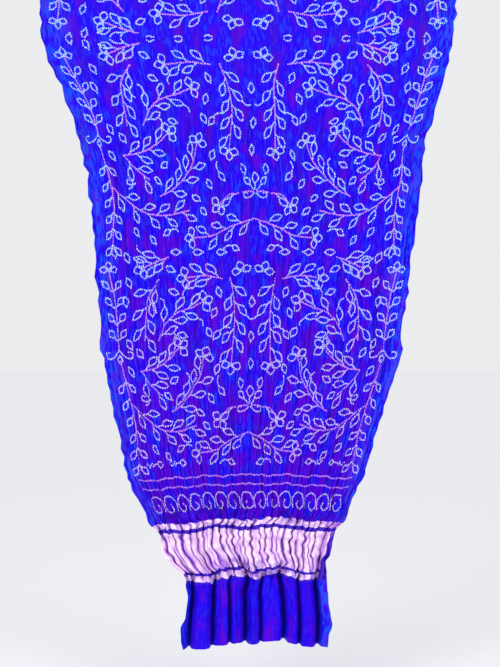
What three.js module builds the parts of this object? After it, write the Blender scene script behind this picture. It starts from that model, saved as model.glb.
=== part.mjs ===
// Bandhani dupatta: one length of tie-dyed satin silk with a woven zari band near each end, hanging by its top edge.
// Millimetres, +Z up, the front faces -Y. The origin is the middle of the top edge, where the cloth is held.
// Its tying leaves it crimped, so the lower end is still gathered to a third of the width that it was cut to.
import * as THREE from "three";

// Driving sizes of the cut cloth
const CUT_LENGTH = 2500;
const CUT_WIDTH = 900;
const WALL = 1.1;
const SEAM = 0.3; // clear space between neighbouring stretches of the cloth

// The stretches of each end, counted inwards from its hem. A stripe includes the ground-coloured line beside it.
const TAIL = 134;
const OUTER_STRIPE = 17;
const BAND = 80;
const INNER_STRIPE = 26;
const BORDER = 108;
const END_LENGTH = TAIL + OUTER_STRIPE + BAND + INNER_STRIPE + BORDER;

// How the cloth hangs, from the lower hem up: its two edges, how its gathering is shared between small crimps, deep
// folds and soft flutes, how far its sides hang below its middle, and how strongly the zari stripes ripple.
const HANG = [
  { height: 0, left: -139, right: 166, crimp: 0.1, fold: 1, flute: 0, sag: 1, ripple: 0.5 },
  { height: 60, left: -136, right: 168, crimp: 0.1, fold: 1, flute: 0, sag: 1, ripple: 0.6 },
  { height: 116, left: -130, right: 163, crimp: 0.2, fold: 0.97, flute: 0, sag: 1, ripple: 0.8 },
  { height: 151, left: -136, right: 159, crimp: 0.65, fold: 0.6, flute: 0, sag: 1, ripple: 0.8 },
  { height: 176, left: -162, right: 163, crimp: 0.95, fold: 0.25, flute: 0, sag: 1, ripple: 0.7 },
  { height: 206, left: -180, right: 173, crimp: 1, fold: 0.12, flute: 0, sag: 1, ripple: 0.5 },
  { height: 240, left: -187, right: 184, crimp: 1, fold: 0.12, flute: 0, sag: 1, ripple: 0.4 },
  { height: 262, left: -206, right: 203, crimp: 1, fold: 0.12, flute: 0, sag: 1, ripple: 0.3 },
  { height: 306, left: -228, right: 216, crimp: 1, fold: 0.12, flute: 0, sag: 1, ripple: 0.15 },
  { height: 364, left: -254, right: 241, crimp: 1, fold: 0.12, flute: 0, sag: 0.95, ripple: 0 },
  { height: 447, left: -269, right: 268, crimp: 1, fold: 0.12, flute: 0, sag: 0.8, ripple: 0 },
  { height: 557, left: -295, right: 301, crimp: 1, fold: 0.1, flute: 0.05, sag: 0.5, ripple: 0 },
  { height: 600, left: -306, right: 313, crimp: 1, fold: 0.1, flute: 0.05, sag: 0.4, ripple: 0 },
  { height: 712, left: -312, right: 325, crimp: 1, fold: 0.08, flute: 0.1, sag: 0.2, ripple: 0 },
  { height: 847, left: -324, right: 344, crimp: 1, fold: 0.06, flute: 0.1, sag: 0, ripple: 0 },
  { height: 960, left: -335, right: 360, crimp: 1, fold: 0.04, flute: 0.15, sag: 0, ripple: 0 },
  { height: 1018, left: -351, right: 362, crimp: 0.9, fold: 0.02, flute: 0.2, sag: 0, ripple: 0 },
  { height: 1097, left: -369, right: 387, crimp: 0.8, fold: 0, flute: 0.3, sag: 0, ripple: 0 },
  { height: 1184, left: -407, right: 408, crimp: 0.7, fold: 0, flute: 0.4, sag: 0, ripple: 0 },
  { height: 1250, left: -429, right: 424, crimp: 0.6, fold: 0, flute: 0.5, sag: 0, ripple: 0 },
  { height: 1400, left: -436, right: 434, crimp: 0.5, fold: 0, flute: 0.6, sag: 0, ripple: 0 },
  { height: 1900, left: -438, right: 438, crimp: 0.3, fold: 0, flute: 0.8, sag: 0, ripple: 0 },
  { height: 2500, left: -440, right: 440, crimp: 0.15, fold: 0, flute: 0.9, sag: 0, ripple: 0 },
];
const SAG = 13; // the sides below the middle, where sag is 1
const TILT = 3; // the right side above the left one, where sag is 1
const RIPPLE = 6; // the zari stripes' rise and fall, where ripple is 1
const RIPPLES = 3; // full ripples across the cloth

// Small crimps across the cloth, uneven in size. Each swells and fades along the length.
const CRIMPS = 56;
const CRIMP_TIGHTNESS = 0.2;
const SWELL = 0.3;
const SWELL_LENGTH = 60; // height over which a swell turns by one radian
const crimps = Array.from({ length: CRIMPS }, (_, i) => ({
  cloth: 1 + 0.3 * Math.sin(1.9 * i + 0.6) + 0.15 * Math.sin(4.3 * i),
  depth: 1,
}));

// Deep folds of the tail, left to right: their share of the cloth, and how deeply each closes
const FOLD_TIGHTNESS = 0.55;
const folds = [
  { cloth: 122, depth: 0.95 },
  { cloth: 128, depth: 1 },
  { cloth: 86, depth: 1.04 },
  { cloth: 138, depth: 1 },
  { cloth: 86, depth: 1.04 },
  { cloth: 132, depth: 1 },
  { cloth: 88, depth: 1.04 },
  { cloth: 140, depth: 0.92 },
];

// Soft flutes of the held upper half
const FLUTE_TIGHTNESS = 0;
const flutes = [
  { cloth: 170, depth: 0.9 },
  { cloth: 205, depth: 1 },
  { cloth: 150, depth: 0.8 },
  { cloth: 195, depth: 1.05 },
  { cloth: 180, depth: 0.9 },
];

// Spreads a row of waves over the cut width, so that each knows the distance from the left selvedge where it starts.
function spread(waves) {
  const total = waves.reduce((sum, wave) => sum + wave.cloth, 0);
  let start = 0;
  return waves.map((wave) => {
    const cloth = (wave.cloth / total) * CUT_WIDTH;
    start += cloth;
    return { start: start - cloth, cloth, depth: wave.depth };
  });
}
const spreadCrimps = spread(crimps);
const spreadFolds = spread(folds);
const spreadFlutes = spread(flutes);

// How far the cloth's direction swings at a distance across the cut: 0 on a wave's front, where it turns slowly.
function swing(waves, tightness, across, swell = () => 1) {
  const i = Math.max(
    waves.findLastIndex((one) => one.start <= across),
    0,
  );
  const turn = (2 * Math.PI * (across - waves[i].start)) / waves[i].cloth;
  return waves[i].depth * swell(i) * Math.sin(turn - tightness * Math.sin(turn));
}

// One column of HANG at a height, on a smooth curve through its rows.
function hangs(column, height) {
  const last = HANG.length - 1;
  const found = HANG.findLastIndex((row) => row.height <= height);
  const i = Math.min(Math.max(found, 0), last - 1);
  const slope = (j) => {
    const a = HANG[Math.max(j - 1, 0)];
    const b = HANG[Math.min(j + 1, last)];
    return (b[column] - a[column]) / (b.height - a.height);
  };
  const step = HANG[i + 1].height - HANG[i].height;
  const t = (height - HANG[i].height) / step;
  const rise = HANG[i + 1][column] - HANG[i][column];
  const near = slope(i) * step - rise;
  const far = rise - slope(i + 1) * step;
  return HANG[i][column] + rise * t + t * (1 - t) * (near * (1 - t) + far * t);
}

// The cloth's direction at a step across the cut, for one strength of swing. It levels off where a fold's side points
// nearly straight back, so that no fold closes on itself.
const STEPS = 1800;
const STEEPEST = 1.45;
const direction = (strength, share) => STEEPEST * Math.tanh((strength * share) / STEEPEST);

// The cloth's section at a height. The swing is found by halving, so that the whole cut width fits between the edges.
const STRONGEST_SWING = 12;
const HALVINGS = 30;
function section(height) {
  const step = CUT_WIDTH / STEPS;
  const width = hangs("right", height) - hangs("left", height);
  const crimp = hangs("crimp", height);
  const fold = hangs("fold", height);
  const flute = hangs("flute", height);
  const swell = (i) => 1 + SWELL * Math.sin(height / SWELL_LENGTH + 2.7 * i);
  const shares = Array.from({ length: STEPS }, (_, i) => {
    const across = (i + 0.5) * step;
    return (
      crimp * swing(spreadCrimps, CRIMP_TIGHTNESS, across, swell) +
      fold * swing(spreadFolds, FOLD_TIGHTNESS, across) +
      flute * swing(spreadFlutes, FLUTE_TIGHTNESS, across)
    );
  });
  let low = 0;
  let high = STRONGEST_SWING;
  for (let i = 0; i < HALVINGS; i++) {
    const middle = (low + high) / 2;
    const reached = shares.reduce((sum, share) => sum + Math.cos(direction(middle, share)) * step, 0);
    if (reached > width) low = middle;
    else high = middle;
  }
  const path = [{ x: hangs("left", height), y: 0 }];
  for (const share of shares) {
    const { x, y } = path[path.length - 1];
    path.push({ x: x + Math.cos(direction(low, share)) * step, y: y + Math.sin(direction(low, share)) * step });
  }
  const drift = path[STEPS].y;
  const middle = path.reduce((sum, p, i) => sum + p.y - (drift * i) / STEPS, 0) / path.length;
  return path.map((p, i) => ({ x: p.x, y: p.y - (drift * i) / STEPS - middle }));
}

// How far each point of a section moves to reach the wall's front: square to the cloth on both sides of the point.
const SHARPEST = 4; // the most half walls that a point moves at a sharp crease
function toFront(line) {
  const square = line.slice(1).map((p, i) => {
    const long = Math.hypot(p.x - line[i].x, p.y - line[i].y);
    return { x: (p.y - line[i].y) / long, y: (line[i].x - p.x) / long };
  });
  return line.map((_, i) => {
    const a = square[Math.max(i - 1, 0)];
    const b = square[Math.min(i, square.length - 1)];
    const long = Math.hypot(a.x + b.x, a.y + b.y);
    const turn = ((a.x + b.x) * a.x + (a.y + b.y) * a.y) / long;
    const out = WALL / 2 / Math.max(turn, 1 / SHARPEST) / long;
    return { x: (a.x + b.x) * out, y: (a.y + b.y) * out };
  });
}

// The height of a point of the cloth below the held edge
function level(height, share) {
  const side = 2 * share - 1;
  const sag = hangs("sag", height) * (TILT * side - SAG * side * side);
  const ripple = hangs("ripple", height) * RIPPLE * Math.cos(2 * Math.PI * (RIPPLES * share - 0.5));
  return height - CUT_LENGTH + sag - ripple;
}

// A stretch of the cloth as a closed wall through its sections, with the same number of columns on each crimp. Its
// heights are its two ends and the folds' heights between them.
function stretch(name, from, between, to, columnsPerCrimp, material) {
  const heights = [from, ...between, to];
  const rows = heights.length - 1;
  const columns = spreadCrimps.flatMap((crimp) =>
    Array.from({ length: columnsPerCrimp }, (_, i) => crimp.start + (crimp.cloth * i) / columnsPerCrimp),
  );
  columns.push(CUT_WIDTH);
  const points = [];
  for (const height of heights) {
    const path = section(height);
    const line = columns.map((across) => path[Math.round((across / CUT_WIDTH) * STEPS)]);
    toFront(line).forEach((out, i) => {
      const z = level(height, columns[i] / CUT_WIDTH);
      points.push(line[i].x + out.x, line[i].y + out.y, z, line[i].x - out.x, line[i].y - out.y, z);
    });
  }
  const front = (row, column) => 2 * (row * columns.length + column);
  const back = (row, column) => front(row, column) + 1;
  const faces = [];
  const quad = (a, b, c, d) => faces.push(a, b, c, a, c, d);
  const lastColumn = columns.length - 1;
  for (let row = 0; row < rows; row++) {
    for (let column = 0; column < lastColumn; column++) {
      quad(front(row, column), front(row, column + 1), front(row + 1, column + 1), front(row + 1, column));
      quad(back(row, column + 1), back(row, column), back(row + 1, column), back(row + 1, column + 1));
    }
    quad(back(row, 0), front(row, 0), front(row + 1, 0), back(row + 1, 0));
    quad(front(row, lastColumn), back(row, lastColumn), back(row + 1, lastColumn), front(row + 1, lastColumn));
  }
  for (let column = 0; column < lastColumn; column++) {
    quad(back(0, column), back(0, column + 1), front(0, column + 1), front(0, column));
    quad(front(rows, column), front(rows, column + 1), back(rows, column + 1), back(rows, column));
  }
  const geometry = new THREE.BufferGeometry();
  geometry.setAttribute("position", new THREE.Float32BufferAttribute(points, 3));
  geometry.setIndex(faces);
  geometry.computeVertexNormals();
  const mesh = new THREE.Mesh(geometry, material);
  mesh.name = name;
  return mesh;
}

// Royal blue satin, and the pale pink metal thread woven into it
const satin = () => new THREE.MeshStandardMaterial({ color: 0x3f0eec, roughness: 0.42, metalness: 0 });
const zari = () => new THREE.MeshStandardMaterial({ color: 0xe0b4f4, roughness: 0.34, metalness: 0.5 });

// The five stretches of one end. An end is laid out from its hem inwards, and up from the lower hem or down from the
// top one.
function clothEnd(end, between, columnsPerCrimp) {
  const group = new THREE.Group();
  const parts = [
    { part: "tail", long: TAIL, material: satin },
    { part: "outer_stripe", long: OUTER_STRIPE, material: zari },
    { part: "zari_band", long: BAND, material: zari },
    { part: "inner_stripe", long: INNER_STRIPE, material: zari },
    { part: "border", long: BORDER, material: satin },
  ];
  let inwards = 0;
  for (const { part, long, material } of parts) {
    const hemGap = inwards === 0 ? 0 : SEAM / 2;
    const from = inwards + hemGap;
    const to = inwards + long - SEAM / 2;
    const heights = end === "lower" ? [from, to] : [CUT_LENGTH - to, CUT_LENGTH - from];
    group.add(stretch(`${end}_${part}`, heights[0], between[part] ?? [], heights[1], columnsPerCrimp, material()));
    inwards += long;
  }
  return group;
}

const dupatta = new THREE.Group();
// Heights of the sections between the ends of each stretch, closer where the deep folds turn into small crimps
const lowerHeights = {
  tail: [50, 95, 115, 125],
  outer_stripe: [138.3, 142.5, 146.7],
  zari_band: [155.5, 161, 170, 190],
  border: [306],
};
const fieldHeights = [450, 540, 640, 750, 860, 970, 1060, 1110, 1200, 1350];
dupatta.add(clothEnd("lower", lowerHeights, 2));
dupatta.add(
  stretch("field", END_LENGTH + SEAM / 2, fieldHeights, CUT_LENGTH - END_LENGTH - SEAM / 2, 2, satin()),
);
dupatta.add(clothEnd("top", {}, 1));

export default dupatta;
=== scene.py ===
# %% [markdown]
# # A bandhani dupatta
# A dupatta is one long rectangle of cloth. This one is royal blue silk satin. Before dyeing, thousands of
# pinches of cloth are tied with thread, and each leaves an undyed dot with a tiny peak. A band of metal
# thread, the zari, is woven in near each end. The cloth keeps the crinkles of its tying, so its lower end
# hangs gathered.
# The frame holds the solids that the part is built with. Each is replaced below by a finer
# piece.

import math

import bmesh
import bpy
import numpy as np
from mathutils import Matrix, Vector


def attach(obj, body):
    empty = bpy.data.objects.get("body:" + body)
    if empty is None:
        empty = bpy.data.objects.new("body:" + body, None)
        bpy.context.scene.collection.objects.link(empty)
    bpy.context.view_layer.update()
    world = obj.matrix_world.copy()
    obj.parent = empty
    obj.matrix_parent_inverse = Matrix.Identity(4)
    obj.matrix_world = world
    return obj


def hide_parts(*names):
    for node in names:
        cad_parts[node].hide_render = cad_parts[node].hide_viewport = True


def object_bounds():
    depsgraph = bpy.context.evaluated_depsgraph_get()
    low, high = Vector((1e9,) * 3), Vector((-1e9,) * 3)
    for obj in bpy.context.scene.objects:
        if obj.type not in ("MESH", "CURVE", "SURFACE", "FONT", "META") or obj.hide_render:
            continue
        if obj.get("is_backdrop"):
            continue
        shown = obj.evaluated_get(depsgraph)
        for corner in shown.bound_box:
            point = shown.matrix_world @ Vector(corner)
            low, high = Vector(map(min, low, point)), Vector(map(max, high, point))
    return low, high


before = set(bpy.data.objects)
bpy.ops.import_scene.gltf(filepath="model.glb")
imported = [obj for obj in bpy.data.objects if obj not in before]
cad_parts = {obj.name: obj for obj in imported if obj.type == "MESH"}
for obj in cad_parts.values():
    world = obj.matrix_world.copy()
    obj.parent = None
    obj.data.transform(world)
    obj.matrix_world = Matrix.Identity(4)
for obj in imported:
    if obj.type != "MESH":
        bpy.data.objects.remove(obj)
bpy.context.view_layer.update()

# %% [markdown]
# ## The cut, and how it hangs
# Cloth hardly stretches, so a drape is worked out from the flat cut. A cloth simulation could find one
# too, but not one with every crimp where the solids have it. So a table says where the two selvedges are
# at each height. Sizes here are in millimetres, and heights are counted along the cloth from its lower
# hem. At each height the cloth follows a waving line across, and the waves are made just strong enough
# for the 900 mm cut to fit between the selvedges.

# %% The cut and the stretches of one end
MM = 0.001
CUT_LENGTH = 2500
CUT_WIDTH = 900
STRETCHES = {"tail": 134, "outer_stripe": 17, "zari_band": 80, "inner_stripe": 26, "border": 108}
END_LENGTH = sum(STRETCHES.values())

# %% How it hangs, from the lower hem up
# the selvedges are in mm from the middle, and the other columns are shares of what is named below
HANG_COLUMNS = ("height", "left", "right", "crimp", "fold", "flute", "sag", "ripple")
HANG = np.array(
    [
        (0, -139, 166, 0.1, 1, 0, 1, 0.5),
        (60, -136, 168, 0.1, 1, 0, 1, 0.6),
        (116, -130, 163, 0.2, 0.97, 0, 1, 0.8),
        (151, -136, 159, 0.65, 0.6, 0, 1, 0.8),
        (176, -162, 163, 0.95, 0.25, 0, 1, 0.7),
        (206, -180, 173, 1, 0.12, 0, 1, 0.5),
        (240, -187, 184, 1, 0.12, 0, 1, 0.4),
        (262, -206, 203, 1, 0.12, 0, 1, 0.3),
        (306, -228, 216, 1, 0.12, 0, 1, 0.15),
        (364, -254, 241, 1, 0.12, 0, 0.95, 0),
        (447, -269, 268, 1, 0.12, 0, 0.8, 0),
        (557, -295, 301, 1, 0.1, 0.05, 0.5, 0),
        (600, -306, 313, 1, 0.1, 0.05, 0.4, 0),
        (712, -312, 325, 1, 0.08, 0.1, 0.2, 0),
        (847, -324, 344, 1, 0.06, 0.1, 0, 0),
        (960, -335, 360, 1, 0.04, 0.15, 0, 0),
        (1018, -351, 362, 0.9, 0.02, 0.2, 0, 0),
        (1097, -369, 387, 0.8, 0, 0.3, 0, 0),
        (1184, -407, 408, 0.7, 0, 0.4, 0, 0),
        (1250, -429, 424, 0.6, 0, 0.5, 0, 0),
        (1400, -436, 434, 0.5, 0, 0.6, 0, 0),
        (1900, -438, 438, 0.3, 0, 0.8, 0, 0),
        (2500, -440, 440, 0.15, 0, 0.9, 0, 0),
    ]
)
SAG = 13  # how far the selvedges hang below the middle, in mm
TILT = 3  # how far the right one is then raised and the left one lowered, in mm
RIPPLE = 6  # how far the stripes rise and fall across the cloth, in mm
RIPPLES = 3


def hangs(column, height):
    """One column of the table at some heights, on a smooth curve through its rows."""
    known = HANG[:, 0]
    values = HANG[:, HANG_COLUMNS.index(column)]
    slopes = np.empty_like(values)
    slopes[1:-1] = (values[2:] - values[:-2]) / (known[2:] - known[:-2])
    slopes[0] = (values[1] - values[0]) / (known[1] - known[0])
    slopes[-1] = (values[-1] - values[-2]) / (known[-1] - known[-2])
    i = np.clip(np.searchsorted(known, height, side="right") - 1, 0, len(known) - 2)
    step = known[i + 1] - known[i]
    t = (height - known[i]) / step
    rise = values[i + 1] - values[i]
    near = slopes[i] * step - rise
    far = rise - slopes[i + 1] * step
    return values[i] + rise * t + t * (1 - t) * (near * (1 - t) + far * t)


print("width at the hem:", hangs("right", 0) - hangs("left", 0), "mm")


# %% The waves: small crimps, pleats in the zari, deep folds in the tail, soft flutes at the held end
def spread(waves):
    """Where each wave starts across the cut, how much cloth it takes, and its depth."""
    cloth, depth = np.array(waves, float).T
    taken = cloth / cloth.sum() * CUT_WIDTH
    return np.cumsum(taken) - taken, taken, depth


CRIMPS = 56
PLEATS = 27
SWELL = 0.3  # how much a wave grows and fades along the cloth
SWELL_LENGTH = 60  # height over which a swell turns by one radian
# how much narrower the backs of the waves are than their fronts
CRIMP_TIGHTNESS, PLEAT_TIGHTNESS, FOLD_TIGHTNESS = 0.2, 0.9, 0.85
# the cloth that each wave takes, and its depth
crimps = spread([(1 + 0.3 * math.sin(1.9 * i + 0.6) + 0.15 * math.sin(4.3 * i), 1) for i in range(CRIMPS)])
pleats = spread(
    [
        (1 + 0.38 * math.sin(2.3 * i + 1.1) + 0.24 * math.sin(5.1 * i), 1 + 0.32 * math.sin(1.4 * i + 0.5))
        for i in range(PLEATS)
    ]
)
folds = spread([(122, 0.95), (128, 1), (86, 1.04), (138, 1), (86, 1.04), (132, 1), (88, 1.04), (140, 0.92)])
flutes = spread([(170, 0.9), (205, 1), (150, 0.8), (195, 1.05), (180, 0.9)])
print("waves:", CRIMPS, "crimps,", PLEATS, "pleats,", len(folds[0]), "folds,", len(flutes[0]), "flutes")


def swing(waves, tightness, across, swell=0, height=0):
    """How far the cloth's direction swings, at distances across the cut."""
    starts, taken, depths = waves
    i = np.clip(np.searchsorted(starts, across, side="right") - 1, 0, None)
    turn = 2 * np.pi * (across - starts[i]) / taken[i]
    grown = 1 + swell * np.sin(height / SWELL_LENGTH + 2.7 * i)
    return depths[i] * grown * np.sin(turn - tightness * np.sin(turn))


# %% Uneven waves over the flat cloth
def between(grid, row, column):
    """Reads a table between its entries."""
    i = np.clip(row.astype(int), 0, grid.shape[0] - 2)
    j = np.clip(column.astype(int), 0, grid.shape[1] - 2)
    a, b = row - i, column - j
    lower = grid[i, j] * (1 - b) + grid[i, j + 1] * b
    upper = grid[i + 1, j] * (1 - b) + grid[i + 1, j + 1] * b
    return lower * (1 - a) + upper * a


def streaks(seed, across_step, height_step):
    """Smooth uneven waves over the flat cloth, from -1 to 1, longer along it than across."""
    rows, columns = int(CUT_LENGTH / height_step) + 4, int(CUT_WIDTH / across_step) + 4
    heights = np.random.default_rng(seed).uniform(-1, 1, (rows, columns))

    def at(across, height):
        row, column = height / height_step + 1, across / across_step + 1
        a, b = row - np.floor(row), column - np.floor(column)
        ease_row = np.floor(row) + a * a * (3 - 2 * a)
        ease_column = np.floor(column) + b * b * (3 - 2 * b)
        ease_row = np.clip(ease_row, 0, rows - 1.001)
        return between(heights, ease_row, np.clip(ease_column, 0, columns - 1.001))

    return at


slow_waver = streaks(10, 70, 30)
quick_waver = streaks(11, 26, 11)
uneven = streaks(13, 15, 500)
SLOW_REACH, QUICK_REACH = 7, 5  # how far the two waverings carry a pleat, in mm


def wavering(across, height):
    """Where a pleat lies, as its line wavers to both sides along the cloth."""
    return across + SLOW_REACH * slow_waver(across, height) + QUICK_REACH * quick_waver(across, height)


zari_heights = np.arange(150.0, 250.0)
pleat_line = wavering(np.full(len(zari_heights), CUT_WIDTH / 2), zari_heights)
print("over the zari the middle pleat wavers by", round(float(np.ptp(pleat_line))), "mm in all")

# %% [markdown]
# ## The sections
# Small crimps cover most of the cloth. From a little above the zari down to the tail, fewer and deeper
# pleats that waver along the cloth take their place, and the tail hangs in a few broad folds. Sculpting
# could shape such waves, but it would stretch the cloth. Here halving finds the strength of the waves:
# too weak, and the section is wider than it should be, so the strength is raised. All the heights are
# worked out at once, a row for each height.

# %% Work out a section every few millimetres of height
STEPS = 1800
LEVEL_STEP = 4
HALVINGS = 26
STRONGEST = 12.0
STEEPEST = 1.45  # the most that the cloth turns from straight across, in radians
UNEVEN_FOLDS = 0.3  # how much of a fold's turning is uneven
PLEATED = [110, 150, 246, 280], [0.3, 1, 1, 0]  # heights, and the pleats' share of the waves there
levels = np.arange(0, CUT_LENGTH + 1, LEVEL_STEP, float)
middles = (np.arange(STEPS) + 0.5) * CUT_WIDTH / STEPS
flat_across, flat_height = np.meshgrid(middles, levels)
flat_lines = wavering(flat_across, flat_height)
pleated = np.interp(levels, *PLEATED)[:, None]
crimped = (1 - pleated) * swing(crimps, CRIMP_TIGHTNESS, middles, SWELL, levels[:, None])
crimped += pleated * swing(pleats, PLEAT_TIGHTNESS, flat_lines, SWELL, levels[:, None])
folded = swing(folds, FOLD_TIGHTNESS, middles) + UNEVEN_FOLDS * uneven(flat_across, flat_height)
shares = (
    hangs("crimp", levels)[:, None] * crimped
    + hangs("fold", levels)[:, None] * folded
    + hangs("flute", levels)[:, None] * swing(flutes, 0, middles)
)
widths = hangs("right", levels) - hangs("left", levels)
low, high = np.zeros(len(levels)), np.full(len(levels), STRONGEST)
for _ in range(HALVINGS):
    strength = (low + high) / 2
    directions = STEEPEST * np.tanh(strength[:, None] * shares / STEEPEST)
    too_wide = np.cos(directions).sum(1) * CUT_WIDTH / STEPS > widths
    low, high = np.where(too_wide, strength, low), np.where(too_wide, high, strength)

start = np.zeros((len(levels), 1))
along_x = np.hstack([start, np.cumsum(np.cos(directions), 1)])
along_y = np.hstack([start, np.cumsum(np.sin(directions), 1)])
section_x = hangs("left", levels)[:, None] + along_x * CUT_WIDTH / STEPS
section_y = along_y * CUT_WIDTH / STEPS
section_y -= section_y[:, -1:] * np.linspace(0, 1, STEPS + 1)
section_y -= section_y.mean(1, keepdims=True)
section_turn = np.hstack([directions[:, :1], directions])
print("sections:", len(levels), "deepest:", round(float(np.ptp(section_y, axis=1).max())), "mm")

# %% [markdown]
# ## Crinkles
# The tying leaves the satin crinkled all over, with sharp little ridges that wander along the cloth. A
# bump in the material could draw them, but only real ones show at the edges and carry the dots, so they
# are in the mesh. A ridge comes from folding a smooth wave at zero: one minus its size peaks where the
# wave crosses zero. In the zari the metal thread is stiff, so there the cloth stands in smooth puffs with
# narrow grooves between them. The selvedges are freer than the rest, so they curl, waver and stand in
# small scallops.

# %% Crinkles over the flat cloth
wander = streaks(3, 60, 90)
coarse = streaks(4, 19, 150)
fine = streaks(5, 8.5, 70)
puffs = streaks(6, 23, 110)
pinches = streaks(7, 9, 60)
edge_wave = streaks(8, 300, 26)
edge_slow = streaks(9, 300, 22)
shift = streaks(12, 15, 70)
WANDER_REACH = 7  # how far the crinkles wander, in mm
COARSE_SHARE, FINE_SHARE = 0.65, 0.35
PUFF_NARROW, PINCH_NARROW = 9, 7  # how narrow the grooves between puffs are, and those across them
PINCH_SHARE = 0.6
# height, how far the crinkles stand out in mm, how deep the grooves are in mm
CRINKLES = np.array(
    [
        (0, 0.5, 0.0),
        (110, 0.7, 0.4),
        (140, 0.9, 1.8),
        (151, 0.5, 2.6),
        (190, 0.35, 3.0),
        (232, 0.5, 2.6),
        (257, 0.9, 2.4),
        (300, 0.9, 2.0),
        (345, 0.9, 0.8),
        (420, 0.8, 0.0),
        (1000, 0.9, 0.0),
        (1300, 0.8, 0.0),
        (2500, 0.6, 0.0),
    ]
)
FULLY_GROOVED = 2.4  # from this depth on, in mm, only the grooves show as creases


def crinkle(across, height):
    """How far the crinkles stand out, in mm, and how deep in a crease each point lies, from 0 to 1."""
    moved = across + WANDER_REACH * wander(across, height)
    coarse_ridges = 1 - 2 * np.abs(coarse(moved, height))
    fine_ridges = 1 - 2 * np.abs(fine(moved, height))
    ridges = COARSE_SHARE * coarse_ridges + FINE_SHARE * fine_ridges
    puff_lines = (1 - np.abs(puffs(moved, height))) ** PUFF_NARROW
    pinch_lines = PINCH_SHARE * (1 - np.abs(pinches(moved, height))) ** PINCH_NARROW
    lines = np.maximum(puff_lines, pinch_lines)
    ridge_size = np.interp(height, CRINKLES[:, 0], CRINKLES[:, 1])
    groove_size = np.interp(height, CRINKLES[:, 0], CRINKLES[:, 2])
    out = ridge_size * ridges
    out -= groove_size * lines
    grooved = np.clip(groove_size / FULLY_GROOVED, 0, 1)
    deep = grooved * lines + (1 - grooved) * (0.5 - 0.5 * ridges)
    return out, np.clip(deep, 0, 1)


# %% The drape: any point of the flat cut, laid on the sections with its crinkles
STRIPE_WAVER = 3  # how far the stripes' edges waver, in mm
# the creases behind pleats and folds only set where shade is painted, through the crease attribute
PLEAT_NARROW, FOLD_NARROW = 6, 4  # how narrow the creases behind pleats and folds are
EDGE_REACH = 16  # how far in from a selvedge its own waves reach, in mm
EDGE_CURL = 3.5  # how far a selvedge curls in depth, in mm
EDGE_WAVER = 4.5  # how far it wavers sideways, in mm
EDGE_SHORT = 1  # how much it is drawn in, in mm
SCALLOP = 1.8  # how far its scallops stand out, in mm
SCALLOP_TURN = 5  # height over which a scallop turns by one radian
# heights along the cloth, and how strongly each thing shows there
STRIPES_WAVER = [120, 138, 256, 285], [0, 1, 1, 0]
# how much shade is painted behind the pleats and folds, and in the crinkles
PLEATS_CREASE = [130, 150, 252, 276], [0, 1, 1, 0]
FOLDS_CREASE = [115, 140], [1, 0]
CRINKLES_CREASE = [120, 135, 150, 162, 236, 244, 256, 300], [1, 0.9, 0.8, 0.55, 0.55, 0.9, 0.9, 1]
SCALLOPS = [270, 350], [0, 1]


def behind(waves, across, narrow):
    """1 at the back of a wave, falling off to 0 towards its front."""
    starts, taken, _ = waves
    i = np.clip(np.searchsorted(starts, across, side="right") - 1, 0, None)
    return np.clip(-np.cos(2 * np.pi * (across - starts[i]) / taken[i]), 0, 1) ** narrow


def surface(across, height):
    """Points of the cloth in metres, which way its front faces there, and how deep in a crease they lie."""
    row = np.clip(height / LEVEL_STEP, 0, len(levels) - 1.001)
    column = np.clip(across / CUT_WIDTH * STEPS, 0, STEPS - 0.001)
    turn = between(section_turn, row, column)
    normal = np.stack([np.sin(turn), -np.cos(turn), np.zeros_like(turn)], -1)
    share = across / CUT_WIDTH
    side = 2 * share - 1
    sag = hangs("sag", height) * (TILT * side - SAG * side * side)
    ripple = hangs("ripple", height) * RIPPLE * np.cos(2 * np.pi * (RIPPLES * share - 0.5))
    ripple = ripple + STRIPE_WAVER * np.interp(height, *STRIPES_WAVER) * shift(across, height)
    out, deep = crinkle(across, height)
    pleat_creases = behind(pleats, wavering(across, height), PLEAT_NARROW)
    in_pleats = np.interp(height, *PLEATS_CREASE) * pleat_creases
    in_folds = np.interp(height, *FOLDS_CREASE) * behind(folds, across, FOLD_NARROW)
    deep = deep * np.interp(height, *CRINKLES_CREASE)
    deep = np.maximum(deep, np.maximum(in_pleats, in_folds))
    edge = np.exp(-np.minimum(across, CUT_WIDTH - across) / EDGE_REACH)
    curl = edge_wave(across, height)
    out = out + EDGE_CURL * edge * curl
    scallops = SCALLOP * np.sin(height / SCALLOP_TURN + 1.5 * curl) * np.interp(height, *SCALLOPS)
    outwards = edge * (EDGE_WAVER * edge_slow(across, height) + scallops - EDGE_SHORT)
    x = between(section_x, row, column) + np.sign(side) * outwards
    point = np.stack([x, between(section_y, row, column), height - CUT_LENGTH + sag - ripple], -1)
    return (point + normal * out[..., None]) * MM, normal, deep


print("middle of the cloth:", surface(np.array([450.0]), np.array([1250.0]))[0])

# %% [markdown]
# ## Shader maths as plain expressions
# A material is a network of nodes, which could be wired up by hand. To keep a long one readable, a small
# class stands for one socket, so that a sum in the script adds a Math node. Every other node comes from
# one method, which sets its options first and then its inputs.


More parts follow.
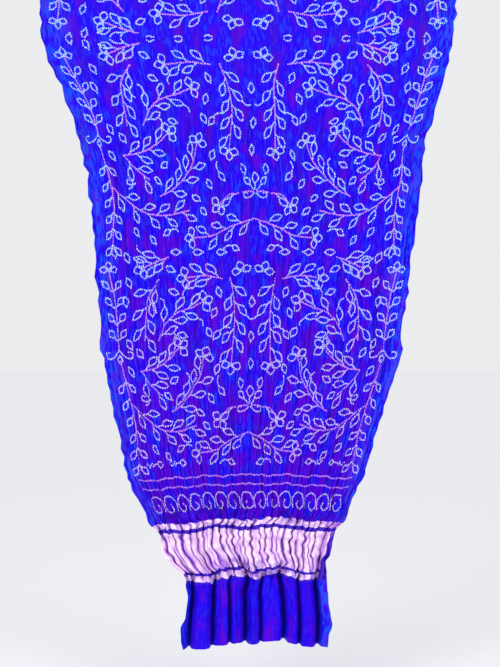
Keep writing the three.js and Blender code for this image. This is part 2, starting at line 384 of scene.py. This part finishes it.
# %% A socket that can be added and multiplied
class Value:
    def __init__(self, finish, socket):
        self.finish = finish
        self.socket = socket

    def math(self, operation, *values):
        return self.finish.node("ShaderNodeMath", {"operation": operation}, dict(enumerate(values)))

    def __add__(self, other):
        return self.math("ADD", self, other)

    def __radd__(self, other):
        return self.math("ADD", other, self)

    def __sub__(self, other):
        return self.math("SUBTRACT", self, other)

    def __rsub__(self, other):
        return self.math("SUBTRACT", other, self)

    def __mul__(self, other):
        return self.math("MULTIPLY", self, other)

    def __abs__(self):
        return self.math("ABSOLUTE", self)

    def over(self, low, high):
        """0 below low, 1 above high, and smooth between."""
        return self.finish.node(
            "ShaderNodeMapRange",
            {"interpolation_type": "SMOOTHSTEP"},
            {"Value": self, "From Min": low, "From Max": high},
        )


# %% A material, and the one method that adds its nodes
def colour(red, green, blue):
    """A colour as it looks on a screen, turned into the linear light that shaders count in."""
    screen = [c / 255 for c in (red, green, blue)]
    linear = [c / 12.92 if c <= 0.04 else ((c + 0.055) / 1.055) ** 2.4 for c in screen]
    return (*linear, 1)


class Finish:
    def __init__(self, name):
        self.material = bpy.data.materials.new(name)
        self.material.use_nodes = True
        self.tree = self.material.node_tree
        self.shader = self.tree.nodes["Principled BSDF"]

    def fill(self, socket, value):
        if isinstance(value, Value):
            self.tree.links.new(value.socket, socket)
        else:
            socket.default_value = value

    def node(self, kind, settings, values, output=0):
        made = self.tree.nodes.new(kind)
        for name, value in settings.items():
            setattr(made, name, value)
        for name, value in values.items():
            self.fill(made.inputs[name], value)
        return Value(self, made.outputs[output])

    def mix(self, factor, first, second):
        """One colour turning into another as the factor goes from 0 to 1."""
        made = self.tree.nodes.new("ShaderNodeMix")
        made.data_type = "RGBA"
        self.fill(made.inputs[0], factor)
        self.fill(made.inputs[6], first)
        self.fill(made.inputs[7], second)
        return Value(self, made.outputs[2])

    def cloth_place(self):
        """Metres across the flat cut and along it, from the piece's own UV map."""
        uv = self.node("ShaderNodeUVMap", {"uv_map": "cloth"}, {})
        return uv, *(self.node("ShaderNodeSeparateXYZ", {}, {"Vector": uv}, output=i) for i in (0, 1))

    def noise(self, vector, scale, detail=2.0, stretch=(1, 1, 1)):
        laid = self.node("ShaderNodeMapping", {}, {"Vector": vector, "Scale": stretch})
        return self.node("ShaderNodeTexNoise", {}, {"Vector": laid, "Scale": scale, "Detail": detail})

    def bump(self, height, distance, below=None):
        values = {"Height": height, "Distance": distance, "Strength": 1.0}
        if below is not None:
            values["Normal"] = below
        return self.node("ShaderNodeBump", {}, values)

    def set(self, **values):
        for name, value in values.items():
            self.fill(self.shader.inputs[name.replace("_", " ")], value)
        return self.material


print("half grey on a screen, in linear light:", round(colour(128, 128, 128)[0], 3))

# %% [markdown]
# ## Satin
# Satin floats most of its warp threads on the front, so it has a bright face that catches light along the
# threads and a duller back. The dye took unevenly in the tied cloth, so the royal blue drifts into violet.
# Shade is painted into its creases as darker blue, and sheen as azure patches and streaks by the selvedges.
# Noise stretched along the piece's own UV map draws the threads, the dye and the painted sheen, so they
# follow the cloth. The painted shade comes from an attribute of the mesh, so the colour and folds agree.


# %% The satin's front and back
ROYAL = colour(38, 0, 222)
VIOLET = colour(86, 0, 204)
PAINTED_SHEEN_AZURE = colour(16, 84, 250)
PAINTED_SHADE_BLUE = colour(58, 10, 168)


def satin(name, painted_sheen_share, painted_shade_share, bluer=0.0):
    """The front, with painted sheen as azure patches, painted shade in its creases, and blue for violet."""
    finish = Finish(name)
    uv, across, along = finish.cloth_place()
    deep = finish.node("ShaderNodeAttribute", {"attribute_name": "crease"}, {}, output=2)
    drift = finish.noise(uv, 34, 3, (1, 0.45, 1))
    flecks = finish.noise(uv, 210, 2, (1, 0.22, 1))
    violet_share = (drift - along.over(0.2, 1.2) * 0.14).over(0.36 + bluer, 0.58 + bluer)
    ground = finish.mix(violet_share, ROYAL, VIOLET)
    # painted sheen: azure patches where the silk would catch the light
    shine = (flecks - drift * 0.6).over(0.22, 0.38) * painted_sheen_share
    ground = finish.mix(shine, ground, PAINTED_SHEEN_AZURE)
    # painted sheen: azure streaks near both selvedges
    edge = abs(across - CUT_WIDTH * MM / 2).over(0.37, 0.44) * (flecks + drift * 0.5).over(0.68, 0.86)
    ground = finish.mix(edge * 0.8, ground, PAINTED_SHEEN_AZURE)
    # painted shade: darker blue in the creases, from the mesh's crease attribute
    shade = (deep + flecks * 0.35).over(0.45, 1.05) * painted_shade_share
    ground = finish.mix(shade, ground, PAINTED_SHADE_BLUE)
    threads = finish.noise(uv, 900, 1, (1, 0.05, 1))
    creases = finish.noise(uv, 210, 3, (1, 0.22, 1))
    relief = finish.bump(threads, 0.00006, finish.bump(creases, 0.0008))
    return finish.set(
        Base_Color=ground,
        Roughness=0.5 + flecks * 0.16,
        Normal=relief,
        Sheen_Weight=0.08,
        Sheen_Roughness=0.35,
        Sheen_Tint=colour(40, 90, 255),
        Specular_IOR_Level=0.2,
        Specular_Tint=colour(90, 130, 255),
    )


def satin_back(name):
    """The duller side, with its creases."""
    finish = Finish(name)
    uv, _, _ = finish.cloth_place()
    drift = finish.noise(uv, 26, 3, (1, 0.28, 1))
    ground = finish.mix(drift.over(0.4, 0.65), colour(44, 18, 190), colour(62, 16, 168))
    creases = finish.noise(uv, 210, 3, (1, 0.22, 1))
    return finish.set(
        Base_Color=ground,
        Roughness=0.72,
        Normal=finish.bump(creases, 0.0011),
        Specular_IOR_Level=0.25,
    )


field_satin = satin("royal satin", 0.4, 0.5)
border_satin = satin("royal satin of the border", 0.25, 0.8)
tail_satin = satin("royal satin of the tail", 0.15, 0.3, 0.1)
back_satin = satin_back("back of the satin")
for made in (field_satin, back_satin):
    print(made.name, len(made.node_tree.nodes), "nodes")

# %% [markdown]
# ## Zari
# Zari is silk wound with flat metal wire, here pale pink and close-set, so the ground hardly shows. At
# one side it reaches the selvedge, and at the other it ends on a slant, where the plain blue goes on. A
# blue line parts each stripe from the band. Where the cloth is pinched the metal turns away from the
# light and looks violet. The metal could be strips laid on the cloth, but it is woven in. So the material
# decides from the place on the cut where it lies, and the edge between metal and silk is ragged by a
# thread or two.


# %% Metal thread, with the blue lines and edges beside it
MIDDLE = CUT_LENGTH * MM / 2
METAL_END = 0.7999  # where the metal would end across the cut at the hem, in metres
METAL_SLANT = 0.4  # how much further across it ends for each metre along
SOFT = 0.0004  # how far a thread's edge is blurred to each side, in metres
BLUE, BACK_BLUE = colour(58, 4, 186), colour(44, 18, 190)


def zari(name, bands, front=True):
    """bands are the heights, in mm along the cut, between which metal thread lies."""
    finish = Finish(name)
    uv, across, along = finish.cloth_place()
    deep = finish.node("ShaderNodeAttribute", {"attribute_name": "crease"}, {}, output=2)
    ragged = finish.noise(uv, 340, 2) * 0.0016 + finish.noise(uv, 48, 1) * 0.006 - 0.0038
    metal = 0
    for first, last in bands:
        inside = (along + ragged).over(first * MM - SOFT, first * MM + SOFT)
        metal = inside * (1 - (along + ragged).over(last * MM - SOFT, last * MM + SOFT)) + metal
    inwards = MIDDLE - abs(along - MIDDLE)
    past_the_end = (across + ragged - inwards * METAL_SLANT).over(METAL_END - SOFT, METAL_END + SOFT)
    metal = metal * (1 - past_the_end)
    mottle = finish.noise(uv, 70, 3, (1, 0.4, 1))
    wires = finish.node(
        "ShaderNodeTexWave",
        {"bands_direction": "Y"},
        {"Vector": uv, "Scale": 380.0, "Distortion": 1.2, "Detail": 1.0},
    )
    bright = finish.mix(mottle.over(0.42, 0.72), colour(255, 228, 252), colour(222, 176, 248))
    # painted shade: the metal is painted lilac, then violet, the deeper it lies in a crease
    bright = finish.mix((deep + mottle * 0.5).over(0.42, 0.92), bright, colour(190, 128, 238))
    bright = finish.mix((deep + mottle * 0.5).over(0.95, 1.2), bright, colour(146, 74, 220))
    ground = finish.mix(metal, BLUE if front else BACK_BLUE, bright)
    creases = finish.noise(uv, 240, 2, (1, 0.16, 1))
    relief = finish.bump(wires * metal, 0.00012, finish.bump(creases, 0.0008))
    return finish.set(
        Base_Color=ground,
        Metallic=metal * (0.35 if front else 0.2),
        Roughness=0.5 - metal * 0.1 + mottle * 0.1,
        Normal=relief,
        Specular_IOR_Level=0.3,
    )


# %% [markdown]
# ## The cloth, stretch by stretch
# The real cloth is one length. It could be one mesh here too, but each stretch has its own solid to
# replace, and its own grid, finest in the pleated zari. A stretch starts as a flat grid, which an
# operator makes with its UV map. Its corners are then moved onto the drape, and its UV map is set to
# metres on the flat cut, so the patterns follow the cloth. Solidify gives the sheet its thickness, with
# the duller satin on the back.


# %% One stretch of cloth
THICKNESS = 0.0005


def sheet_of_cloth(name, node, heights, size, finishes):
    """The cloth between two heights, as a grid of columns and rows, with a front and a back finish."""
    first, last = heights
    columns, rows = size
    bm = bmesh.new()
    bm.loops.layers.uv.new("cloth")
    bmesh.ops.create_grid(bm, x_segments=columns, y_segments=rows, size=0.5, calc_uvs=True)
    for edge in bm.edges:
        edge.smooth = not edge.is_boundary  # so that the shading doesn't run round the rim
    mesh = bpy.data.meshes.new(name)
    bm.to_mesh(mesh)
    bm.free()
    flat = np.empty(len(mesh.vertices) * 3)
    mesh.vertices.foreach_get("co", flat)
    flat = flat.reshape(-1, 3) + 0.5
    point, _, deep = surface(flat[:, 0] * CUT_WIDTH, first + flat[:, 1] * (last - first))
    mesh.vertices.foreach_set("co", point.ravel())
    # the crease attribute tells the materials where to paint shade
    mesh.attributes.new("crease", "FLOAT", "POINT").data.foreach_set("value", deep)
    uv = np.empty(len(mesh.loops) * 2)
    mesh.uv_layers["cloth"].data.foreach_get("uv", uv)
    uv = uv.reshape(-1, 2) * (CUT_WIDTH * MM, (last - first) * MM) + (0, first * MM)
    mesh.uv_layers["cloth"].data.foreach_set("uv", uv.ravel())
    mesh.shade_smooth()
    for finish in finishes:
        mesh.materials.append(finish)
    piece = bpy.data.objects.new(name, mesh)
    bpy.context.scene.collection.objects.link(piece)
    wall = piece.modifiers.new("wall", "SOLIDIFY")
    wall.thickness = THICKNESS
    wall.offset = 0
    wall.use_even_offset = False
    wall.material_offset = 1
    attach(piece, "root")
    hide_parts(node)
    (last - first) * MM
    print(name, len(mesh.polygons), "faces")


# %% The stretches of the two ends, and the field between them
# columns and rows of each grid
GRIDS = {
    "tail": (448, 40),
    "outer_stripe": (448, 8),
    "zari_band": (560, 30),
    "inner_stripe": (560, 10),
    "border": (448, 34),
}
FIELD_GRID = (448, 108)
# where the metal thread lies in each zari stretch, in mm from the hem
METAL = {"outer_stripe": [(138, 149)], "zari_band": [(155, 240)], "inner_stripe": [(220, 236), (244, 256)]}
inwards = 0
for part, long in STRETCHES.items():
    first, last = inwards, inwards + long
    columns, rows = GRIDS[part]
    for end in ("lower", "top"):
        if part in METAL:
            bands = METAL[part]
            if end == "top":
                bands = [(CUT_LENGTH - b, CUT_LENGTH - a) for a, b in bands]
            called = f"{end} {part.replace('_', ' ')}"
            front = zari(f"zari of the {called}", bands)
            finishes = front, zari(f"back of the {called}", bands, front=False)
        else:
            finishes = tail_satin if part == "tail" else border_satin, back_satin
        heights = (first, last) if end == "lower" else (CUT_LENGTH - last, CUT_LENGTH - first)
        size = (columns, rows) if end == "lower" else (columns // 2, rows // 2)
        sheet_of_cloth(f"{end}_{part}_cloth", f"{end}_{part}", heights, size, finishes)
    inwards += long

heights = (END_LENGTH, CUT_LENGTH - END_LENGTH)
finishes = field_satin, back_satin
sheet_of_cloth("field_cloth", "field", heights, FIELD_GRID, finishes)

# %% [markdown]
# ## The tied pattern
# A bandhani pattern is drawn in dots. It is tied with the cloth folded in four, so one quarter repeats,
# mirrored about the middle both ways. Pink dots make the stems, white ones the leaves and flowers. Such
# dots could be painted by the material, but each is a small peak of silk, so they are made as pieces. The
# curves below are laid out in millimetres from the middle line of the cut, and each is turned into evenly
# spaced dots. Towards the gathered end the leaves are drawn wider, so that they aren't too thin once the
# cloth is gathered.

# %% Curves of the pattern
DOT_PITCH = 4.2  # in mm
white, pink = [], []


def smooth(points, steps=10):
    """A curve through some points."""
    points = np.array(points, float)
    padded = np.vstack([2 * points[0] - points[1], points, 2 * points[-1] - points[-2]])
    t = np.linspace(0, 1, steps, endpoint=False)[:, None]
    spans = [
        0.5 * (2 * b + (c - a) * t + (2 * a - 5 * b + 4 * c - d) * t**2 + (3 * b - a - 3 * c + d) * t**3)
        for a, b, c, d in zip(padded, padded[1:], padded[2:], padded[3:])
    ]
    return np.vstack([*spans, points[-1:]])


def dotted(curve, into, pitch=DOT_PITCH):
    """Spaces dots evenly along a curve."""
    along = np.concatenate([[0], np.cumsum(np.hypot(*np.diff(curve, axis=0).T))])
    count = max(int(round(along[-1] / pitch)), 1)
    places = np.linspace(0, along[-1], count + 1)
    into.append(np.stack([np.interp(places, along, curve[:, i]) for i in (0, 1)], -1))


widening = 1.0  # how much wider shapes are drawn across the cloth, set by each repeat


def turned(shape, base, angle):
    """A shape turned by an angle, widened across the cloth, and set at a point."""
    c, s = math.cos(angle), math.sin(angle)
    return np.array(shape, float) @ np.array([[c, s], [-s, c]]) * (widening, 1) + base


# %% Leaves, flowers and tendrils
HOOK = [(0, 0), (12, 4), (22, 12), (24, 22), (15, 26), (11, 19)]
PETAL_TURN = 1.3
LEAF_LEAN = 0.8  # the angle between a stem and its leaves, in radians
LEAF_BOW = 7  # how far the leaves of a stem bow back along it, in mm


def bent(shape, bend, reach):
    """Bows a shape sideways, more the further along it."""
    shape = np.array(shape, float)
    return shape + np.stack([0 * shape[:, 0], bend * (shape[:, 0] / reach) ** 2], -1)


def leaf(base, angle, long=29, wide=13.5, stalk=11, tail=0, bend=0):
    """A pointed leaf in outline on a stalk, and on some leaves a tail that curls on from the tip."""
    t = np.linspace(0, 1, 14)
    half = wide / 2 * np.sin(np.pi * t**1.08)
    reach = stalk + long
    one_side = np.stack([stalk + long * t, half], -1)
    outline = np.vstack([one_side, (one_side * (1, -1))[-2::-1]])
    dotted(turned(bent(outline, bend, reach), base, angle), white)
    if stalk > 5:
        dotted(turned(bent([(2, 0), (stalk / 2, 0), (stalk, 0)], bend, reach), base, angle), white)
    if tail:
        curl = smooth([(reach, 0), (reach + 7, tail * 2), (reach + 13, tail * 6), (reach + 17, tail * 13)])
        dotted(turned(bent(curl, bend, reach), base, angle), white)


def flower(base, angle, size=20):
    """Three round petals at the end of a stem."""
    for turn in (-PETAL_TURN, 0, PETAL_TURN):
        leaf(base, angle + turn, size, size * 0.75, 3)


def tendril(base, angle, side, size=1.0):
    """A stalk that ends in a hook."""
    curve = smooth(np.array(HOOK) * (1, side))
    dotted(turned(curve * size, base, angle), white)


def branch(points, leaves, flowers, swap, tails):
    """A pink stem with leaves to both sides in turn, and on some a flower at its end."""
    stem = smooth(points)
    dotted(stem, pink)
    along = np.concatenate([[0], np.cumsum(np.hypot(*np.diff(stem, axis=0).T))])
    bare = 1.8 if flowers else 0.3  # how many leaves' room stays bare before the stem's end
    for i in range(leaves):
        at = along[-1] * (i + 0.5) / (leaves + bare)
        j = min(np.searchsorted(along, at), len(stem) - 2)
        heading = math.atan2(*(stem[j + 1] - stem[j])[::-1])
        side = swap * (1 if i % 2 else -1)
        tail = side if i in tails else 0
        leaf(stem[j], heading + side * LEAF_LEAN, tail=tail, bend=-side * LEAF_BOW)
    if flowers:
        heading = math.atan2(*(stem[-1] - stem[-2])[::-1])
        flower(stem[-1], heading)


# %% One quarter of a repeat, in mm from the middle line and up from the repeat's start
REPEATS = 4
REPEAT = (CUT_LENGTH - 2 * END_LENGTH) / REPEATS
LOWER_WIDENING, UPPER_WIDENING = 1.35, 1.06
# the vine near the selvedge, in two lengths, and the heights of its leaves with the way that they point
VINES = [[(396, 4), (386, 90), (392, 160), (396, 222)], [(396, 246), (400, 300), (404, 350), (412, 404)]]
VINE_LINE = [0, 90, 160, 222, 300, 404], [396, 386, 392, 396, 400, 412]
VINE_LEAVES = [(16 + 33 * i, -1) for i in range(6)] + [(262 + 33 * i, 1) for i in range(4)]
CROWDED = (115, 148)  # heights where a branch takes the place of a leaf
BRANCHES = [
    # points, leaves, flower, first side, leaves with tails
    ([(270, 386), (300, 354), (314, 312), (318, 262)], 7, False, 1, (0,)),
    ([(276, 262), (254, 296), (220, 318), (180, 328), (144, 340)], 6, True, -1, (1, 4)),
    ([(338, 200), (292, 206), (250, 222), (216, 246)], 5, True, 1, (4,)),
    ([(336, 198), (316, 172), (284, 150)], 3, False, -1, (0,)),
    ([(256, 116), (222, 130), (186, 158), (158, 190), (142, 226)], 7, True, 1, (2,)),
    ([(386, 134), (338, 100), (296, 80), (240, 76), (180, 86)], 9, False, -1, ()),
    ([(66, 388), (54, 346), (52, 292), (60, 212)], 8, True, 1, (2,)),
    ([(0, 70), (60, 54), (116, 34), (168, 30)], 6, True, 1, ()),
    ([(88, 388), (136, 394), (190, 390)], 4, True, -1, (3,)),
    ([(240, 432), (272, 424), (312, 410)], 4, True, 1, (1,)),
    ([(46, 122), (72, 118), (96, 98)], 1, True, 1, ()),
]
# loose leaves: middle, height, angle, which way a tail curls
LOOSE = [
    (150, 106, 0.5, 0),
    (112, 262, 2.2, 1),
    (118, 306, 2.0, 0),
    (110, 190, 2.0, 0),
    (226, 186, -0.5, 0),
    (318, 32, 0.9, 0),
    (356, 244, 1.1, 0),
    (252, 34, 2.6, 1),
    (214, 356, 0.4, 0),
    (352, 420, 1.2, 0),
    (368, 330, 1.4, 0),
    (190, 268, 0.3, 0),
    (28, 160, 1.4, 0),
    (0, 200, 1.57, 0),
    (0, 256, 1.57, 0),
    (0, 352, -1.57, 0),
    (81, 147, 0.9, 1),
    (74, 442.5, 0, 0),
    (202, 442.5, 0, 0),
    (140, 442.5, 0, 0),
    (272, 15, 0.9, 0),
    (117, 131, 1.0, 0),
    (118, 266, 1.1, 0),
    (92, 349, 1.2, 0),
    (222, 402, 0.5, 0),
    (131, 77, 0.7, 0),
    (352, 369, 1.2, 0),
    (326, 226, 1.0, 0),
    (363, 189, 1.1, 0),
    (38, 4, 0.4, -1),
    (252, 140, 0.7, 0),
    (388, 430, 1.3, 0),
]


def quarter(start, wide):
    """Ties one repeat of the pattern, from a height up."""
    global widening
    widening = wide
    before = len(white), len(pink)
    for points, leaves, flowers, swap, tails in BRANCHES:
        branch(points, leaves, flowers, swap, tails)
    for vine in VINES:
        dotted(smooth(vine), pink)
    for height, heading in VINE_LEAVES:
        middle = np.interp(height, *VINE_LINE)
        if height not in CROWDED:
            leaf((middle, height), heading * 1.57 - 0.72, 21, 12, 9)
        leaf((middle, height), heading * 1.57 + 0.72, 21, 12, 9)
    tendril((396, 244), -1.25, 1)
    tendril((396, 244), -1.9, -1)
    leaf((396, 236), -1.57, 16, 9, 3)
    flower((412, 404), 1.57, 16)
    flower((31, 402), 1.3, 19)
    leaf((0, 128), 1.57, 24, 17, 14)
    leaf((4, 128), 0.85, 20, 12, 16)
    dotted(smooth([(6, 125), (20, 126), (34, 124)]), pink)
    tendril((4, 122), -1.0, 1, 0.8)
    tendril((322, 142), -0.6, 1, 0.7)
    for middle, height, angle, tail in LOOSE:
        leaf((middle, height), angle, 22, 12, 1, tail=tail)
    for stack, count in zip((white, pink), before):
        for i in range(count, len(stack)):
            stack[i] = stack[i] + (0, start)


quarter(END_LENGTH, LOWER_WIDENING)
quarter(END_LENGTH + REPEAT, UPPER_WIDENING)
print("curves:", len(white), "white,", len(pink), "pink")

# %% The border: two dotted lines, broken here and there, a row of curled arches, and small sprigs over them
BORDER_LINES = (346, 327)
BORDER_RUNS = ((0, 62), (68, 118), (122, 204), (211, 262), (267, 348), (353, 411))
ARCHES = 8
ARCH_PITCH = 54
ARCH_HEIGHT = 299
ARCH_SIZE = (1.6, 1.05)
ARCH = [(-13, -17), (-14, 0), (-4, 11), (9, 10), (15, -2), (14, -14), (5, -20), (-3, -13), (1, -5)]
SPRIGS = (222, 306)
for height in BORDER_LINES:
    for first, last in BORDER_RUNS:
        reach = np.arange(first, last, 3.0)
        waved = height + 1.6 * np.sin(reach / 21 + height) + np.sin(reach / 8)
        dotted(np.stack([reach, waved], -1), pink)
for i in range(ARCHES):
    dotted(smooth(ARCH) * ARCH_SIZE + (i * ARCH_PITCH, ARCH_HEIGHT), white)
for middle in SPRIGS:
    leaf((middle, 374), 0.15, 19, 12, 1, tail=-0.6)
    dotted(smooth([(middle + 42, 379), (middle + 50, 371), (middle + 60, 378)]), white)
print("with the border:", len(white), "white,", len(pink), "pink")


# %% Unfold the quarter over the whole cut
SELVEDGE = 10  # bare cloth along the edge, in mm
PAST_THE_FOLD = 3  # how far past the middle line a dot may lie, in mm
ON_THE_FOLD = 2  # this near to a fold, in mm, a dot isn't mirrored


def unfolded(curves):
    """The dots of the lower half of the cut, and those of the upper half, which mirrors it."""
    half = np.vstack(curves)
    half = half[(half[:, 0] > -PAST_THE_FOLD) & (half[:, 0] < CUT_WIDTH / 2 - SELVEDGE)]
    right = half + (CUT_WIDTH / 2, 0)
    left = half * (-1, 1) + (CUT_WIDTH / 2, 0)
    lower = np.vstack([right, left[half[:, 0] > ON_THE_FOLD]])
    lower = lower[lower[:, 1] < CUT_LENGTH / 2 - ON_THE_FOLD]
    return lower, lower * (1, -1) + (0, CUT_LENGTH)


white_dots, pink_dots = unfolded(white), unfolded(pink)
print("white dots:", 2 * len(white_dots[0]), "pink dots:", 2 * len(pink_dots[0]))

# %% [markdown]
# ## The dots
# Each tie leaves a small undyed peak, with a speck of dye at its tip, and the dye misses the back of it
# too. So one dot is a low cone that reaches through the cloth. It is made with operators, and its few
# corners are laid at every place of the pattern through the same drape as the cloth, so each dot follows
# the crinkle that it sits on. Instances of one cone could do it too, but thousands of objects are slow,
# so the dots of each half are one joined mesh.


# %% One dot, and the joined meshes of all of them
DOT_SIDES = 5
DOT_BASE, DOT_TIP = 1.25, 0.36  # radii of a dot of size 1, in mm
DOT_FRONT, DOT_BACK = 1.5, 0.45  # how far it stands out before and behind the middle of the cloth, in mm
DOT_SIZES = (1.9, 2.4)
DOT_SCATTER = 0.35  # how far a tie strays from its place, in mm


def one_dot():
    """Corners of a low peak that reaches through the cloth, and its faces with the slot of each."""
    bm = bmesh.new()
    bmesh.ops.create_cone(bm, cap_ends=True, segments=DOT_SIDES, radius1=DOT_BASE, radius2=DOT_TIP, depth=1)
    bmesh.ops.scale(bm, verts=bm.verts, vec=(1, 1, DOT_FRONT + DOT_BACK))
    bmesh.ops.translate(bm, verts=bm.verts, vec=(0, 0, (DOT_FRONT - DOT_BACK) / 2))
    bm.verts.index_update()
    slots = [1 if f.normal.z > 0.9 else 0 for f in bm.faces]
    corners = np.array([v.co for v in bm.verts])
    faces = [[v.index for v in f.verts] for f in bm.faces]
    bm.free()
    return corners, faces, slots


def tie_dots(name, places, finish, speck, seed):
    """One joined mesh of dots, each of its own size and turn."""
    corners, faces, slots = one_dot()
    chance = np.random.default_rng(seed)
    places = places + chance.normal(0, DOT_SCATTER, places.shape)
    size = chance.uniform(*DOT_SIZES, (len(places), 1))
    turn = chance.uniform(0, 1, (len(places), 1))
    x = corners[:, 0] * np.cos(turn) - corners[:, 1] * np.sin(turn)
    y = corners[:, 0] * np.sin(turn) + corners[:, 1] * np.cos(turn)
    point, normal, _ = surface(places[:, :1] + x * size, places[:, 1:] + y * size)
    point = point + normal * corners[None, :, 2:] * MM
    count = len(corners)
    all_faces = [[i * count + corner for corner in face] for i in range(len(places)) for face in faces]
    mesh = bpy.data.meshes.new(name)
    mesh.from_pydata(point.reshape(-1, 3), [], all_faces)
    mesh.polygons.foreach_set("material_index", np.tile(slots, len(places)).astype(np.int32))
    mesh.materials.append(finish)
    mesh.materials.append(speck)
    mesh.shade_smooth()
    piece = bpy.data.objects.new(name, mesh)
    bpy.context.scene.collection.objects.link(piece)
    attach(piece, "root")
    print(name, len(mesh.polygons), "faces")


# %% The undyed silk of the dots, and the speck of dye at their tips
def undyed(name, upper, lower):
    """Bare silk with painted light, cooler at the top and warmer towards the gathered end."""
    finish = Finish(name)
    place = finish.node("ShaderNodeTexCoord", {}, {}, output=3)
    height = finish.node("ShaderNodeSeparateXYZ", {}, {"Vector": place}, output=2)
    painted_light_noise = finish.noise(place, 60, 2)
    # painted light: the tone shifts with height up the cloth
    tone = finish.mix((height + painted_light_noise * 0.3).over(-2.0, -1.3), lower, upper)
    return finish.set(Base_Color=tone, Roughness=0.6, Specular_IOR_Level=0.3)


white_silk = undyed("undyed silk", colour(206, 240, 255), colour(232, 214, 255))
pink_silk = undyed("pink silk", colour(246, 166, 248), colour(226, 150, 248))
speck_silk = satin_back("speck of dye")
for half, where in ((0, "lower"), (1, "upper")):
    tie_dots(f"white_dots_{where}", white_dots[half], white_silk, speck_silk, 20 + half)
    tie_dots(f"pink_dots_{where}", pink_dots[half], pink_silk, speck_silk, 30 + half)

# %% [markdown]
# ## Floor, light and camera
# The room is a pale floor and a pale sky, with two big soft lamps in front of the cloth. An area lamp
# shines to all sides before it, which would light the floor more than the cloth, so their spread is
# narrowed. A sun lamp could light it too, but its hard shadows would hide the folds. The camera looks
# level at the lower half of the cloth, through a long lens, so that its edges stay straight.

# %% The floor
FLOOR_REACH = 40
FLOOR_HEIGHT = -2.62
bm = bmesh.new()
bmesh.ops.create_grid(bm, x_segments=1, y_segments=1, size=FLOOR_REACH)
floor_mesh = bpy.data.meshes.new("floor")
bm.to_mesh(floor_mesh)
bm.free()
floor_mesh.transform(Matrix.Translation((0, 0, FLOOR_HEIGHT)))
floor = bpy.data.objects.new("floor", floor_mesh)
bpy.context.scene.collection.objects.link(floor)
paint = Finish("pale floor")
floor_mesh.materials.append(paint.set(Base_Color=colour(252, 252, 254), Roughness=0.9))
floor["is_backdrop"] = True

# %% The light
SKY = (0.93, 0.935, 0.95, 1)
SKY_STRENGTH = 0.9
LAMP_SIZE = (1.4, 1.8)
LAMP_SPREAD = math.radians(70)
AIM = (0, 0, -1.9)
world = bpy.data.worlds.new("pale sky")
bpy.context.scene.world = world
world.use_nodes = True
world.node_tree.nodes["Background"].inputs["Color"].default_value = SKY
world.node_tree.nodes["Background"].inputs["Strength"].default_value = SKY_STRENGTH


def lamp(name, place, watts):
    """A soft lamp that shines at the middle of the gathered part."""
    light = bpy.data.lights.new(name, "AREA")
    light.shape = "RECTANGLE"
    light.size, light.size_y = LAMP_SIZE
    light.spread = LAMP_SPREAD
    light.energy = watts
    made = bpy.data.objects.new(name, light)
    bpy.context.scene.collection.objects.link(made)
    made.location = place
    direction = Vector(AIM) - made.location
    made.rotation_euler = direction.to_track_quat("-Z", "Y").to_euler()


lamp("key", (-1.7, -4.2, -0.1), 10.5)
lamp("fill", (1.9, -4.2, -0.5), 7.5)
print("lamps:", [light.name for light in bpy.data.lights])

# %% The camera
lens = bpy.data.cameras.new("camera")
camera = bpy.data.objects.new("camera", lens)
bpy.context.scene.collection.objects.link(camera)
SENSOR = 24  # in mm
FRAME_HEIGHT = 1.381  # how much of the cloth's height the picture shows, in metres
FRAME_MIDDLE = (0.002, -1.861)
DISTANCE = 4.6
lens.sensor_fit = "VERTICAL"
lens.sensor_height = SENSOR
lens.lens = SENSOR * DISTANCE / FRAME_HEIGHT
camera.location = (FRAME_MIDDLE[0], -DISTANCE, FRAME_MIDDLE[1])
camera.rotation_euler = (math.pi / 2, 0, 0)
bpy.context.scene.camera = camera
bpy.context.scene.view_settings.view_transform = "Standard"
print("lens:", round(lens.lens, 1), "mm")

# %% The bounds of what is drawn
low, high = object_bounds()
